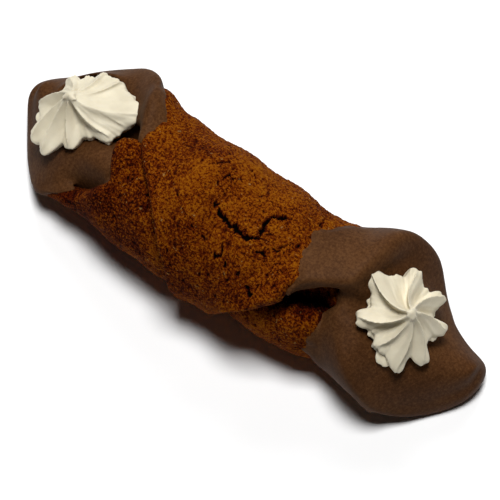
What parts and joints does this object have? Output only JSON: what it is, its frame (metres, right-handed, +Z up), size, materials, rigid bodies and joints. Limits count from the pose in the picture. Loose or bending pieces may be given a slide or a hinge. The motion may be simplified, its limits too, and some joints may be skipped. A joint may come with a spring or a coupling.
{
  "type": "cannoli biscuit",
  "caption": "Filled cannoli: a rolled sheet of baked almond-biscuit dough, its ends dipped in chocolate coating, with cream through the roll that ends in a piped star at each mouth.",
  "frame": {"origin": "on the surface that the roll lies on, under the middle of its bounding box", "axes": "+X along the roll, towards the mouth whose star lies under the overlapping flap; +Z up, out of the open side; -Y is the side where the back flap comes down over the front flap"},
  "size_m": [0.1282, 0.0412, 0.0386],
  "materials": {
    "biscuit": "baked almond-biscuit crust, rough and crumbly, brown",
    "chocolate": "set chocolate coating, smooth, satin to dull, dark brown",
    "cream": "piped butter cream, soft and matt, off-white"
  },
  "bodies": {
    "root": {"biscuit_roll": "biscuit", "chocolate_right": "chocolate", "chocolate_left": "chocolate", "cream_filling": "cream"}
  },
  "joints": []
}
